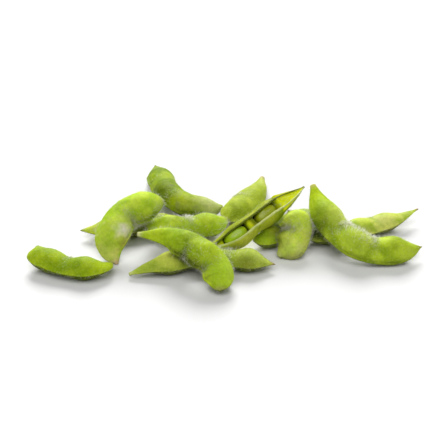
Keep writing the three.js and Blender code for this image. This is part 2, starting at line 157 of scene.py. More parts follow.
PODS = {
    "pod_far_left": dict(
        lean=0, seeds=(0.27, 0.68), seam=1, width=12, shoulder=5, shoulder_power=0.6, taper=14,
        taper_power=0.5,
        spine=[(-75, -32, 6.5), (-73, -36.5, 5.4), (-68.5, -39, 4.5), (-62.5, -42, 4.1),
               (-55, -43.6, 4.1), (-48.5, -42.8, 4.1), (-44.2, -39.6, 3.8)],
        skin=(0x779709, 0x9EB90F, 0xC1D727), stalk_tint=0x9BB34A, beak_tint=0xB9B45A,
        spots=[(0.87, 128, 5, 0xC8E024, 0.85), (0.1, 110, 4, 0x9CB41C, 0.5),
               (0.55, 90, 4.5, 0x7F9E02, 0.7)],
        fuzz=1650, folds=0.25,
    ),
    "pod_leaning_left": dict(
        lean=50, seeds=(0.35, 0.74), seam=-1, width=13.4, shoulder=11, shoulder_power=0.75,
        taper=11, taper_power=0.6, stalk=0.8, back_notch=0.01,
        spine=[(-43, -34.5, 0.8), (-45, -31, 4.8), (-44.8, -26.9, 10), (-40, -21.3, 15.3),
               (-32.7, -15.9, 16.9), (-24.5, -11, 17.1)],
        skin=(0xA0C519, 0xC6E82F, 0xE6F852), stalk_tint=0xD9B59A, beak_tint=0xC9C7A0,
        spots=[(0.12, 90, 5, 0xCBE052, 0.7), (0.05, 98, 4, 0xF6F48C, 0.8),
               (0.28, 160, 4, 0xF2F07A, 0.7), (0.3, 80, 5, 0xBAD23C, 0.5),
               # The near-white spots at 0.39 and 0.47, about 127 degrees, are a painted highlight.
               (0.47, 128, 4, 0xF4F48C, 0.4), (0.39, 127, 2.8, 0xFFF8E4, 1),
               (0.62, 125, 4, 0x7E9408, 0.4), (0.92, 134, 2.4, 0xE8E898, 0.5),
               (0.12, 29, 4, 0xF7F787, 0.6), (0.22, 156, 3, 0xF7F764, 0.7)],
        tufts=[(0.58, 168, 4, 90), (0.8, 165, 4, 70)],
        fuzz=3000, folds=0.45,
    ),
    "pod_under_left": dict(
        lean=0, seeds=(0.27, 0.52, 0.76), seam=1, width=11.4, thickness=8.2, taper=13,
        taper_power=0.7,
        spine=[(-14, -2.1, 2), (-18, -4.8, 2.8), (-25, -8, 3.8), (-35, -9.5, 3.9),
               (-45, -12, 3.9), (-52.5, -13, 3.9), (-59, -13.5, 3.9)],
        skin=(0x869D12, 0xB8CA26, 0xEBF13F), stalk_tint=0xB9B97A, beak_tint=0xB8C060,
        # The dark spot at 0.5 is painted shade, where pod_leaning_left shades this pod.
        spots=[(0.85, 110, 6, 0xC8D468, 0.6), (0.5, 10, 6, 0x6A6A24, 0.6)],
        fuzz=2250, folds=0.4,
    ),
    "pod_back_left": dict(
        lean=15, seeds=(0.2, 0.47, 0.76), seam=1, width=12.2, shoulder=9, taper=18,
        taper_power=0.85, notch=0.06, waist=0.85,
        spine=[(-0.6, 7.3, 3.4), (-7.5, 3.4, 5.8), (-15.5, 0.2, 8.8), (-22.5, 7.8, 9.4),
               (-27, 25.5, 6.2), (-29.1, 39.3, 3.2), (-31.2, 49, 2.2)],
        skin=(0x668102, 0x91AE02, 0xB5C70A), stalk_tint=0xC2C860, beak_tint=0x6A6A34,
        # The dark spots, from 10 to 70 degrees, are painted shade along its upper side.
        spots=[(0.44, 70, 7, 0x6D8300, 0.8), (0.4, 40, 6, 0x5E6C00, 0.7),
               (0.77, 67, 5, 0x6A8700, 0.75), (0.67, 134, 3, 0xC4D83C, 0.7),
               (0.25, 52, 4, 0xC0CC0C, 0.8), (0.11, 60, 8, 0xE4E8A0, 0.9),
               (0.23, 10, 4, 0x4A6000, 0.7), (0.39, 34, 5, 0x566E00, 0.5),
               (0.81, 67, 5, 0x6A8600, 0.6)],
        fuzz=1200, folds=0.1, domes=0.12,
    ),
    "pod_middle": dict(
        lean=20, seeds=(0.27, 0.72), seam=1, width=12.4, thickness=8.4, shoulder=9,
        shoulder_power=0.5, taper=10, taper_power=0.6,
        spine=[(-31.5, -15.8, 8.1), (-23.5, -16.9, 7.2), (-14.5, -15.8, 6.4), (-6, -12.6, 5.8),
               (2, -7.2, 5.5)],
        skin=(0x93B016, 0xBAD724, 0xE1F447), stalk_tint=0xA9B458, beak_tint=0xA9A860,
        spots=[(0.36, 62, 3.5, 0x869A10, 0.7), (0.64, 59, 3.5, 0x90A612, 0.6),
               (0.52, 134, 3, 0x8CA60E, 0.5), (0.82, 90, 4, 0xA4C01C, 0.5),
               (0.61, 164, 4, 0x7A8A0C, 0.5)],
        tufts=[(0.72, 190, 5, 110), (0.5, 60, 4, 40), (0.1, 60, 3, 30)],
        fuzz=3900, folds=0.3,
    ),
    "pod_back_centre": dict(
        lean=5, seeds=(0.42, 0.7), seam=-1, width=14.2, shoulder=26, shoulder_power=0.82, taper=8,
        taper_power=0.7, notch=0.04, stalk=1.3, waist=0.85,
        spine=[(17.9, 31.9, 4.4), (15.7, 22.5, 4.3), (11.2, 11.5, 4.1), (6, 1, 4.1),
               (1.5, -6, 3.9)],
        skin=(0x99B01C, 0xB9CA35, 0xD1DB4F), stalk_tint=0xE0CBA8, beak_tint=0xA8AA68,
        spots=[(0.88, 66, 4.5, 0x788C00, 0.85), (0.33, 98, 4, 0xA8B630, 0.6),
               (0.55, 100, 5, 0xA8B838, 0.4), (0.1, 70, 5, 0xDCE47C, 0.6)],
        fuzz=1950, folds=0.3,
    ),
    "pod_behind_open": dict(
        lean=0, seeds=(0.2, 0.53, 0.82), seam=1, width=11.2, thickness=8.2, shoulder=7,
        shoulder_power=0.6, taper=14,
        spine=[(13, -20, 4), (17.5, -20.5, 4), (24, -14.5, 4), (31, -5.5, 4), (37, -0.8, 3.9),
               (42, 3.6, 3.3)],
        skin=(0x88A90D, 0xBDDA1E, 0xEEFA36), stalk_tint=0x9AA850, beak_tint=0xA9A860,
        spots=[(0.2, 121, 4, 0x5E6608, 0.75), (0.3, 120, 5, 0x6A5E30, 0.5),
               (0.11, 146, 2.5, 0xB4D430, 0.5)],
        fuzz=2250, folds=0.35,
    ),
    "pod_curled": dict(
        lean=40, seeds=(0.31, 0.75), seam=1, width=13, thickness=9.4, shoulder=7,
        shoulder_power=0.7, taper=6, notch=0.4, back_notch=0.02, waist=0.6,
        spine=[(23.2, -29.6, 1.5), (27.3, -27.2, 4.6), (30, -23, 8.4), (30, -18.5, 11.6),
               (27.5, -13.5, 13.6)],
        skin=(0xBADE30, 0xE2F848, 0xF8FF6C), stalk_tint=0xC8CC80, beak_tint=0xA9A860,
        # The dark spots at 24 and 44 degrees darken the crease: partly its brownish down, partly
        # painted shade.
        spots=[(0.32, 44, 4, 0x768014, 0.5), (0.52, 24, 3.4, 0x5A6A0C, 0.7),
               (0.48, 156, 5, 0xE8F264, 0.7), (0.68, 44, 4, 0x9CA818, 0.6),
               (0.82, 90, 4, 0xB0CC40, 0.6), (0.22, 156, 2.5, 0xF0F4A0, 0.5),
               (0.2, 90, 4, 0xD2E478, 0.5), (0.16, 155, 3, 0xF7F798, 0.6),
               (0.25, 24, 4, 0x8A9020, 0.6)],
        tufts=[(0.62, 168, 4, 80), (0.5, 175, 3, 40), (0.57, 60, 3, 70), (0.5, 45, 3, 40)],
        fuzz=3150, folds=0.6,
    ),
    "pod_right": dict(
        lean=35, seeds=(0.27, 0.53, 0.8), seam=1, width=12.6, thickness=9, shoulder=17, taper=13,
        taper_power=0.8,
        spine=[(38, -4.5, 20), (41, -13.5, 15.4), (46, -22.5, 10.7), (52.5, -30, 8),
               (60, -32, 5.6), (67.5, -31.5, 4.8), (74.5, -31, 4.8), (81, -28.5, 4.6)],
        skin=(0x879F12, 0xB0CD23, 0xD7EB41), stalk_tint=0xECE088, beak_tint=0xA8A030,
        spots=[(0.05, 100, 6, 0xCDE600, 0.9), (0.29, 36, 4, 0xE8F478, 0.7),
               (0.34, 62, 4, 0xDCEE60, 0.6), (0.54, 74, 4, 0xDAEE55, 0.6),
               # The dark spot at 0.3, 156 degrees, is painted shade on its lower left flank.
               (0.61, 74, 4, 0xD6EA50, 0.6), (0.3, 156, 5, 0x4E6204, 0.8),
               (0.9, 110, 6, 0xC8D83C, 0.5)],
        tufts=[(0.42, 36, 4, 110), (0.5, 32, 5, 150), (0.6, 34, 4, 120), (0.4, 112, 4, 60)],
        fuzz=4200, folds=0.55,
    ),
    "pod_back_right": dict(
        lean=0, seeds=(0.2, 0.45, 0.7), seam=1, width=11.8, thickness=8.2, shoulder=5,
        shoulder_power=0.5, taper=26,
        spine=[(35, -16.6, 3.9), (43, -16.8, 4), (53.5, -14, 4.2), (63, -10, 4.2),
               (73, -5.5, 4.8), (83.5, 1, 6)],
        # Its stalk end lies in pod_right's shade: the dark stalk tint and the near-black spot at 0.06
        # are a painted shadow.
        skin=(0x93B224, 0xBDD43C, 0xDAE753), stalk_tint=0x3E4A10, beak_tint=0xB08A62,
        spots=[(0.06, 110, 8, 0x1E2804, 0.97), (0.65, 120, 5, 0xF0EE90, 0.8),
               (0.64, 180, 4.5, 0xF4F480, 0.8), (0.48, 182, 4, 0xF0F078, 0.7),
               (0.86, 82, 4, 0xE2E27C, 0.4), (0.24, 90, 5, 0x5E7A10, 0.7)],
        fuzz=1800, folds=0.3,
    ),
    "pod_front_over": dict(
        lean=40, seeds=(0.4, 0.62, 0.84), seam=-1, width=12.4, thickness=9, shoulder=26,
        shoulder_power=0.8, taper=8, taper_power=0.5, notch=0.2, stalk=1.1,
        spine=[(-34, -32, 12.6), (-25, -34, 13), (-19.5, -36.5, 13), (-13.5, -41, 12.6),
               (-7.5, -45.5, 11.2), (-3.5, -48, 8.2), (-1.5, -51.5, 4.8), (-1, -58, 2.6)],
        skin=(0x90AE14, 0xB7D322, 0xDDF03F), stalk_tint=0xE2DDAE, beak_tint=0xA9A860,
        # The dark spots at 165 degrees are painted shade on its lower flank.
        spots=[(0.1, 85, 7, 0xB8D018, 0.7), (0.5, 165, 4, 0x465004, 0.8),
               (0.62, 165, 4, 0x465004, 0.7), (0.84, 32, 5, 0xD4EE54, 0.7),
               (0.86, 70, 7, 0xB8DE2C, 0.5), (0.49, 34, 5, 0x7A9810, 0.7),
               (0.32, 64, 6, 0x86A60C, 0.6)],
        tufts=[(0.66, 110, 4, 60)],
        fuzz=3150, folds=0.45,
    ),
    "pod_front_under": dict(
        lean=0, seeds=(0.28, 0.56, 0.83), seam=1, width=12.2, thickness=8.4, shoulder=21,
        shoulder_power=0.78, taper=11, stalk=0.7,
        spine=[(-37, -45, 2.2), (-29.5, -42, 3.6), (-22, -40, 4), (-13, -36.5, 4), (-6, -36.5, 4),
               (3, -36.5, 4), (11, -37.5, 4), (20.5, -39.5, 3.5)],
        skin=(0x7A9521, 0xABC037, 0xCFDB53), stalk_tint=0xDCE48C, beak_tint=0xC0A070,
        spots=[(0.27, 92, 5, 0xF0F470, 0.75), (0.89, 82, 4.5, 0xE4F478, 0.75),
               # The dark spot at 0.46 is painted shade of its middle, under pod_front_over.
               (0.82, 160, 5, 0x79801D, 0.7), (0.46, 100, 7, 0x46580A, 0.85)],
        tufts=[(0.68, 100, 4, 70)],
        fuzz=2700, folds=0.4,
    ),
}

# In the open pod, slit is how wide it gapes: place along, and gap as a share of the
# thickness there. Beyond the place called tongue the wall is thin and its hollow shallow.
# lining is (dull, bright, shade): the tongue is painted bright, a painted light, and shade is painted
# shade deep in the hollow round the beans and between them.
# pale_patch_tint colours a paler patch on the front valve, back_tint the back valve, and
# hem_shade_tint the dark line inside the lips, a painted shade.

OPEN_POD = dict(
    slit_towards=(0, -0.71, 0.7), seeds=(0.27, 0.56), seam=1, thickness=10.4, shoulder=13,
    shoulder_power=0.7, taper=22, taper_power=0.85, notch=0.06, waist=0.74, stalk=2.2, tongue=0.63,
    spine=[(-6.5, -27, 2.2), (1, -25.2, 4.4), (6.5, -23.8, 7.3), (12, -21.2, 10.7),
           (21.5, -12.5, 13.4), (31, -2.2, 15), (34.8, 2.5, 15.9)],
    slit=[(0, 0.3), (0.1, 0.46), (0.27, 0.51), (0.42, 0.58), (0.56, 0.48), (0.72, 0.66), (1, 0.7)],
    # The third lining colour is a painted shade for the deep hollow round the beans.
    skin=(0x8CA20A, 0xBACA1C, 0xD8E040), lining=(0xC8D800, 0xF4FC10, 0x64720A),
    stalk_tint=0xC6C890, beak_tint=0x75755A, pale_patch_tint=0xEFF25A, back_tint=0x7C8420,
    # The hem tint is a painted shade along the inside of the lips.
    front_lip_tint=0xE8EEA0, back_lip_tint=0x4E5A08, hem_shade_tint=0x46500A,
    fuzz=1950, folds=0.3,
)

# at is a bean's place along the open pod, and forward how far it stands out of the middle.
BEANS = {
    "bean_lower": dict(at=0.245, forward=0.9, skin=(0xA8CC0C, 0xC6E81A, 0xE0F838)),
    # bean_upper's skin is darker than bean_lower's: partly its own duller tone, partly painted shade.
    "bean_upper": dict(at=0.525, forward=0.8, skin=(0x9CAA08, 0xBAC80E, 0xD0DA1C)),
}


# --------------------------------------------------------------- small tools

def unit(vectors):
    return vectors / np.linalg.norm(vectors, axis=-1, keepdims=True)


def smooth(x):
    x = np.clip(x, 0, 1)
    return x * x * (3 - 2 * x)


def bell(x):
    return np.exp(-(x**2))


def blend(first, second, share):
    return first + (second - first) * share


def linear(color):
    """Linear channels of a colour that is written as 0xRRGGBB."""
    channels = np.array([color >> 16, color >> 8 & 255, color & 255]) / 255
    return np.where(channels < 0.04045, channels / 12.92, ((channels + 0.055) / 1.055) ** 2.4)


def waves(points, size, seed, count=18):
    """Smooth noise of about unit height and the given grain size: a sum of seeded plane waves."""
    rng = np.random.default_rng(seed)
    directions = unit(rng.normal(size=(count, 3)))
    pitch = 2 * math.pi / size * rng.uniform(0.6, 1.5, count)
    phases = rng.uniform(0, 2 * math.pi, count)
    total = np.zeros(points.shape[:-1])
    for direction, k, phase in zip(directions, pitch, phases):
        total += np.cos(points @ direction * k + phase)
    return total / math.sqrt(count / 2) * 0.7


def spot_distance(s, angle, place, around):
    """Distance over a pod's skin from a place along it and an angle around it in degrees."""
    turn = (angle - math.radians(around) + math.pi) % (2 * math.pi) - math.pi
    return np.hypot((s - place * s[-1])[:, None], turn[None] * RADIAN_REACH)


# --------------------------------------------------------------- lofted form

def spine_points(pod, u):
    """Places and directions at the stations u of the centripetal Catmull-Rom curve of the spine."""
    p = np.array(pod["spine"], float)
    p = np.vstack([2 * p[0] - p[1], p, 2 * p[-1] - p[-2]])
    curve = []
    w = np.linspace(0, 1, 80, endpoint=False)[:, None]
    for p0, p1, p2, p3 in zip(p, p[1:], p[2:], p[3:]):
        d0, d1, d2 = (np.linalg.norm(b - a) ** 0.5 for a, b in ((p0, p1), (p1, p2), (p2, p3)))
        m1 = ((p1 - p0) / d0 - (p2 - p0) / (d0 + d1) + (p2 - p1) / d1) * d1
        m2 = ((p2 - p1) / d1 - (p3 - p1) / (d1 + d2) + (p3 - p2) / d2) * d1
        square = (3 * (p2 - p1) - 2 * m1 - m2) * w**2
        curve.append(p1 + m1 * w + square + (2 * (p1 - p2) + m1 + m2) * w**3)
    curve = np.vstack([*curve, p[-2][None]])
    arc = np.concatenate([[0], np.cumsum(np.linalg.norm(np.diff(curve, axis=0), axis=1))])
    length = arc[-1]

    def at(s):
        return np.stack([np.interp(s, arc, curve[:, k]) for k in range(3)], -1)

    s = np.clip(u, 0, 1) * length
    along = unit(at(np.minimum(s + 0.5, length)) - at(np.maximum(s - 0.5, 0)))
    return at(s), along, length


def cross_frames(pod, u):
    """Centres and the directions along, towards the seam and outwards at the stations u."""
    centre, along, length = spine_points(pod, u)
    if "slit_towards" in pod:
        seamward = np.array(pod["slit_towards"])
        seamward = unit(seamward - (along @ seamward)[:, None] * along)
    else:
        lean = math.radians(pod["lean"])
        seamward = unit(np.cross([0, -math.sin(lean), math.cos(lean)], along))
    return centre, along, seamward, np.cross(along, seamward), length


def sections(pod, u, length):
    """Half widths on both sides, half thickness, swell and emptiness at the stations u."""
    s = u * length
    shoulder = np.sin(math.pi / 2 * np.clip(s / pod.get("shoulder", SHOULDER), 0, 1))
    taper = np.sin(math.pi / 2 * np.clip((length - s) / pod.get("taper", TAPER), 0, 1))
    shoulder = shoulder ** pod.get("shoulder_power", SHOULDER_POWER)
    swell = shoulder * taper ** pod.get("taper_power", TAPER_POWER)
    core = pod.get("stalk", STALK_RADIUS) * bell(s / STALK_LENGTH)
    core = core + BEAK_RADIUS * bell((length - s) / BEAK_LENGTH)
    seeds = pod["seeds"]
    reach = SEED_REACH * (seeds[-1] - seeds[0]) / (len(seeds) - 1)
    hollow = np.prod([1 - bell((u - seed) / reach) for seed in seeds], axis=0)
    half_width = pod.get("width", POD_WIDTH) / 2 * swell
    waist = 1 - (1 - pod.get("waist", WAIST_THICKNESS)) * hollow
    seam_side = np.hypot(half_width * (1 - pod.get("notch", SEAM_NOTCH) * hollow), core)
    back_side = np.hypot(half_width * (1 - pod.get("back_notch", BACK_NOTCH) * hollow), core)
    plus, minus = (seam_side, back_side) if pod["seam"] > 0 else (back_side, seam_side)
    cheek = np.hypot(pod.get("thickness", POD_THICKNESS) / 2 * swell**1.15 * waist, core)
    return plus, minus, cheek, swell, hollow


def stations(count):
    """Places from 0 to 1 along a pod, closer together at its ends."""
    even = np.linspace(0, 1, count)
    return (1 - np.cos(math.pi * even)) / 2 * END_CROWDING + even * (1 - END_CROWDING)


def outline(plus, minus, cheek, angle):
    """Across and up coordinates of the section's outline; one row a station."""
    c, s = np.cos(angle), np.sin(angle)
    across = c * np.where(c > 0, plus[:, None], minus[:, None])
    return across, np.sign(s) * np.abs(s) ** CHEEK_POWER * cheek[:, None]


def placed(centre, seamward, outward, across, up):
    """Points of sections, from their across and up coordinates in the frames of their stations."""
    points = centre[:, None] + across[..., None] * seamward[:, None]
    return points + up[..., None] * outward[:, None]


def lofted(pod, u, angle):
    centre, along, seamward, outward, length = cross_frames(pod, u)
    plus, minus, cheek, swell, _ = sections(pod, u, length)
    across, up = outline(plus, minus, cheek, angle)
    return placed(centre, seamward, outward, across, up), across, up, along, length, swell


def coarse_points(pod):
    """A shut pod with as few points as its solid has, before it is let down on the surface."""
    angle = 2 * math.pi * np.arange(CAD_SIDES) / CAD_SIDES
    return lofted(pod, stations(CAD_RINGS), angle)[0]


def settled(points, lowest):
    """Points let down with a flat pressed under them, where the lowest is near the surface."""
    if lowest <= REST_REACH:
        points = points.copy()
        points[..., 2] = np.maximum(points[..., 2] - lowest - REST_FLAT, 0)
    return points


def heap_place(name):
    """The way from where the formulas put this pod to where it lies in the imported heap."""
    points = coarse_points(PODS[name])
    points = settled(points, points[..., 2].min()).reshape(-1, 3)
    low, high = (np.array(corner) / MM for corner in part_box(name))
    return (low + high - points.min(0) - points.max(0)) / 2


HEAP_SHIFT = heap_place("pod_right")


# -------------------------------------------------------------------- meshes

def grid_normals(points):
    """Outward normals of a grid that is closed round its second axis."""
    around = np.roll(points, -1, 1) - np.roll(points, 1, 1)
    return unit(np.cross(around, np.gradient(points, axis=0)) + 1e-12)


def grid_faces(rows, columns):
    i, j = (a.ravel() for a in np.meshgrid(np.arange(rows - 1), np.arange(columns), indexing="ij"))
    here, beside = i * columns + j, i * columns + (j + 1) % columns
    return np.stack([here, beside, beside + columns, here + columns], -1)


def with_ends(grid):
    """The values of a grid as a list, with the means of its first and last rows after them."""
    return np.concatenate([grid.reshape(-1, 3), grid[0].mean(0)[None], grid[-1].mean(0)[None]])


def closed_tube(points):
    """Vertices, quads and end fans of a grid closed round its second axis and at both ends."""
    rows, columns = points.shape[:2]
    j = np.arange(columns)
    k = (j + 1) % columns
    first, last = rows * columns, rows * columns + 1
    end = (rows - 1) * columns
    fans = [*zip(np.full(columns, first), k, j), *zip(np.full(columns, last), end + j, end + k)]
    return with_ends(points), grid_faces(rows, columns), fans


def make_mesh(name, points, quads, others, paint=None, values=None):
    """A smooth mesh in metres, with its colours and named values in attributes."""
    mesh = bpy.data.meshes.new(name)
    faces = [list(map(int, f)) for f in quads] + [list(map(int, f)) for f in others]
    mesh.from_pydata((points * MM).tolist(), [], faces)
    mesh.polygons.foreach_set("use_smooth", [True] * len(mesh.polygons))
    if paint is not None:
        layer = mesh.color_attributes.new("Paint", "FLOAT_COLOR", "POINT")
        rgba = np.concatenate([paint, np.ones((len(paint), 1))], 1)
        layer.data.foreach_set("color", rgba.astype(np.float32).ravel())
    for key, value in (values or {}).items():
        layer = mesh.attributes.new(key, "FLOAT", "POINT")
        layer.data.foreach_set("value", np.asarray(value, np.float32).ravel())
    mesh.update()
    thing = bpy.data.objects.new(name, mesh)
    bpy.context.scene.collection.objects.link(thing)
    return thing


# ----------------------------------------------------------------- shut pods

def skin_relief(pod, s, angle, across, up, swell, points, seed):
    """How far the skin stands off the lofted form, how it puckers, and where its seams are."""
    seeds = np.array(pod["seeds"]) * s[-1]
    near_seam = bell(up / 0.5)
    beside_seam = bell((np.abs(up) - 1.15) / 0.5)
    seed_side = (np.cos(angle) > 0)[None] == (pod["seam"] > 0)
    seams = np.where(seed_side, SEAM_RIDGE, BACK_RIDGE) * near_seam
    seams = seams - np.where(seed_side, SEAM_GROOVE, BACK_GROOVE) * beside_seam

    dome_width = 0.37 * pod.get("width", POD_WIDTH)
    domes = np.zeros_like(up)
    for place in seeds:
        far = np.hypot((s[:, None] - place) / DOME_REACH, across / dome_width)
        domes += pod.get("domes", DOME_HEIGHT) / (1 + np.exp((far - 0.95) / 0.13))
    domes *= smooth(np.abs(np.sin(angle)) * 2)[None]

    waists = (seeds[1:] + seeds[:-1]) / 2
    pucker = sum(bell((s - place) / PUCKER_REACH) for place in waists)
    towards_seeds = smooth(np.cos(angle) * pod["seam"] / 1.4 + 0.5)
    pucker = pucker[:, None] * (0.15 + 0.85 * towards_seeds)[None]
    phase = 2 * math.pi * s[:, None] / FOLD_PITCH + 2.2 * waves(points, 9, seed + 1)
    folds = FOLD_HEIGHT * pucker * np.sin(phase) * np.abs(np.cos(angle))[None] ** 0.7

    oblique = s[:, None] + 0.55 * np.abs(across) + 0.5 * waves(points, 5, seed + 2)
    veins = VEIN_HEIGHT * np.sin(2 * math.pi * oblique / VEIN_PITCH)
    veins = veins * (0.5 + 0.5 * waves(points, 6, seed + 3))
    lumps = LUMP_HEIGHT * waves(points, 11, seed + 4) + DIMPLE_HEIGHT * waves(points, 3.2, seed + 5)
    grain = GRAIN_HEIGHT * waves(points, 0.9, seed + 6, 30)
    relief = swell[:, None] * (seams + domes + folds + veins + lumps + grain - SKIN_INSET)
    return relief, pucker, near_seam


def skin_paint(pod, s, angle, points, pucker, near_seam, seed):
    """Colours of a shut pod: clouds and patches, painted shade in the creases, seams, spots, the two
    ends, and painted shade on skin that faces down.
    """
    deep, body, pale = (linear(c) for c in pod["skin"])
    cloud = smooth(0.5 + 0.55 * waves(points, 16, seed + 11))[..., None]
    patch = smooth(0.35 + 0.6 * waves(points, 7, seed + 12))[..., None]
    color = body + (pale - body) * 0.55 * patch + (deep - body) * 0.55 * cloud * (1 - patch)
    # The waist creases are painted darker: painted shade where the skin puckers.
    color = blend(color, 0.7 * deep, 0.5 * pucker[..., None])
    color = blend(color, pale, 0.35 * near_seam[..., None])
    ragged = 1 + 0.25 * waves(points, 3.5, seed + 13)
    for place, around, reach, tint, strength in pod["spots"]:
        far = spot_distance(s, angle, place, around) / reach * ragged
        color = blend(color, linear(tint), (strength * bell(far))[..., None])
    stalk, beak = bell(s / 1.5)[:, None, None], bell((s[-1] - s) / 1.1)[:, None, None]
    color = blend(color, linear(pod["stalk_tint"]), 0.9 * stalk)
    color = blend(color, linear(pod["beak_tint"]), 0.85 * beak)
    # Skin that faces down is painted darker: a painted shade of the undersides.
    painted_underside_shade = smooth(0.45 - grid_normals(points)[..., 2:])
    return np.clip(color, 0.002, 0.95) * (1.05 - 0.8 * painted_underside_shade)


def end_rings(ring, outward, more):
    """Narrower rings beyond the given one."""
    centre = ring.mean(0)
    return [centre + (ring - centre) * width + outward * out for width, out in more]


def pod_skin(name, pod, seed):
    """The fine skin of a shut pod, and what its hairs need to know of it."""
    u = stations(SKIN_RINGS)
    even = 2 * math.pi * np.arange(SKIN_SIDES) / SKIN_SIDES
    angle = even - SEAM_CROWDING * np.sin(2 * even)
    points, across, up, along, length, swell = lofted(pod, u, angle)
    s = u * length
    relief, pucker, near_seam = skin_relief(pod, s, angle, across, up, swell, points, seed)
    points = points + grid_normals(points) * relief[..., None]
    color = skin_paint(pod, s, angle, points, pucker, near_seam, seed)
    points = settled(points, coarse_points(pod)[..., 2].min()) + HEAP_SHIFT

    scar = end_rings(points[0], -along[0], STALK_RINGS)
    tip = end_rings(points[-1], along[-1], BEAK_RINGS)
    capped = np.concatenate([scar, points, tip])
    capped[..., 2] = np.maximum(capped[..., 2], 0)
    scar_color = np.repeat(color[:1], 3, 0) * 0.85
    scar_color[:2] = linear(pod["stalk_tint"]) * 0.8
    tip_color = np.repeat(color[-1:], 3, 0) * 0.6
    paint = with_ends(np.concatenate([scar_color, color, tip_color]))
    skin = make_mesh(name + "_skin", *closed_tube(capped), paint)
    facts = dict(points=points, along=along, s=s, angle=angle, pucker=pucker, near_seam=near_seam)
    return skin, facts


# --------------------------------------------------------------------- hairs

def hair_mesh(name, roots, normals, directions, lengths, radii, crowd, rng):
    """Closed, tapered, three-sided hairs of two rings and a tip, bent a little at the middle."""
    count = len(roots)
    lead = unit(np.cross(directions, rng.normal(size=(count, 3))))
    side = np.cross(directions, lead)
    bend = unit(directions + 0.21 * rng.normal(size=(count, 3)) + 0.25 * normals)
    middle = roots + directions * (lengths / 2)[:, None]
    tip = middle + bend * (lengths / 2)[:, None]
    rings = []
    for centre, width in ((roots - normals * HAIR_ROOT, radii), (middle, 0.72 * radii)):
        for turn in 2 * math.pi * np.arange(3) / 3:
            spoke = lead * math.cos(turn) + side * math.sin(turn)
            rings.append(centre + spoke * width[:, None])
    vertices = np.stack([*rings, tip], 1)
    vertices[..., 2] = np.clip(vertices[..., 2], HAIR_FLOOR, HEAP_TOP + HAIR_HEADROOM)
    first = 7 * np.arange(count)[:, None]
    quads = np.concatenate([first + [0, 1, 4, 3], first + [1, 2, 5, 4], first + [2, 0, 3, 5]])
    tips = [first + [3, 4, 6], first + [4, 5, 6], first + [5, 3, 6]]
    triangles = np.concatenate([*tips, first + [2, 1, 0]])
    crowds = np.repeat(crowd, 7)
    return make_mesh(name, vertices.reshape(-1, 3), quads, triangles, values={"Crowd": crowds})


def pod_hairs(name, pod, skin, seed):
    """The down of a pod: longer, thicker and more upright in the creases and along the seams."""
    rng = np.random.default_rng(seed)
    points = skin["points"]
    normals = grid_normals(points)
    rows, columns = points.shape[:2]
    du = np.linalg.norm(np.gradient(points, axis=0), axis=-1)
    dv = np.linalg.norm((np.roll(points, -1, 1) - np.roll(points, 1, 1)) / 2, axis=-1)
    ground = du * dv * (points[..., 2] > BARE_UNDERSIDE)

    def picked(weights, count):
        return rng.choice(rows * columns, count, p=(weights / weights.sum()).ravel())

    shares = (0.75 - 0.4 * pod["folds"], 0.6 * pod["folds"], 0.3 * pod["folds"])
    weights = (ground, ground * skin["pucker"], ground * skin["near_seam"])
    chance = sum(share * w / w.sum() for share, w in zip(shares, weights))
    chance[-2:] = 0
    picks = [picked(chance, pod["fuzz"])]
    for place, around, reach, count in pod.get("tufts", []):
        far = spot_distance(skin["s"], skin["angle"], place, around)
        picks.append(picked(ground * bell(far / reach), count))
    picks = np.concatenate(picks)
    tufted = np.arange(len(picks)) >= pod["fuzz"]

    i, j = np.divmod(picks, columns)
    next_i, next_j = np.minimum(i + 1, rows - 1), (j + 1) % columns
    a, b = rng.random(len(picks))[:, None], rng.random(len(picks))[:, None]
    roots = blend(blend(points[i, j], points[next_i, j], a),
                  blend(points[i, next_j], points[next_i, next_j], a), b)
    out = normals[i, j]
    crowd = np.clip(skin["pucker"][i, j] + 0.9 * skin["near_seam"][i, j], 0, 1)
    crowd[tufted] = 1
    upright, onward = 0.5 + 0.5 * crowd[:, None], 0.75 - 0.55 * crowd[:, None]
    stray = 0.3 * rng.normal(size=out.shape)
    directions = unit(out * upright + skin["along"][i] * onward + stray)
    lengths = rng.uniform(*HAIR_LENGTHS, len(picks)) * (1 + 0.8 * crowd)
    lengths[tufted] *= TUFT_LENGTHENING
    radii = rng.uniform(*HAIR_RADII, len(picks)) * (1 + 0.9 * crowd)
    radii[tufted] *= TUFT_THICKENING
    return hair_mesh(name + "_hairs", roots, out, directions, lengths, radii, crowd, rng)


# ------------------------------------------------------------------ open pod
# A section of the open wall runs along its outside, round the back lip, along its
# inside and round the front lip.

INSIDE_START = OUT_SIDES + LIP_SIDES
INSIDE_END = INSIDE_START + OUT_SIDES
OPEN_SIDES = INSIDE_END + LIP_SIDES


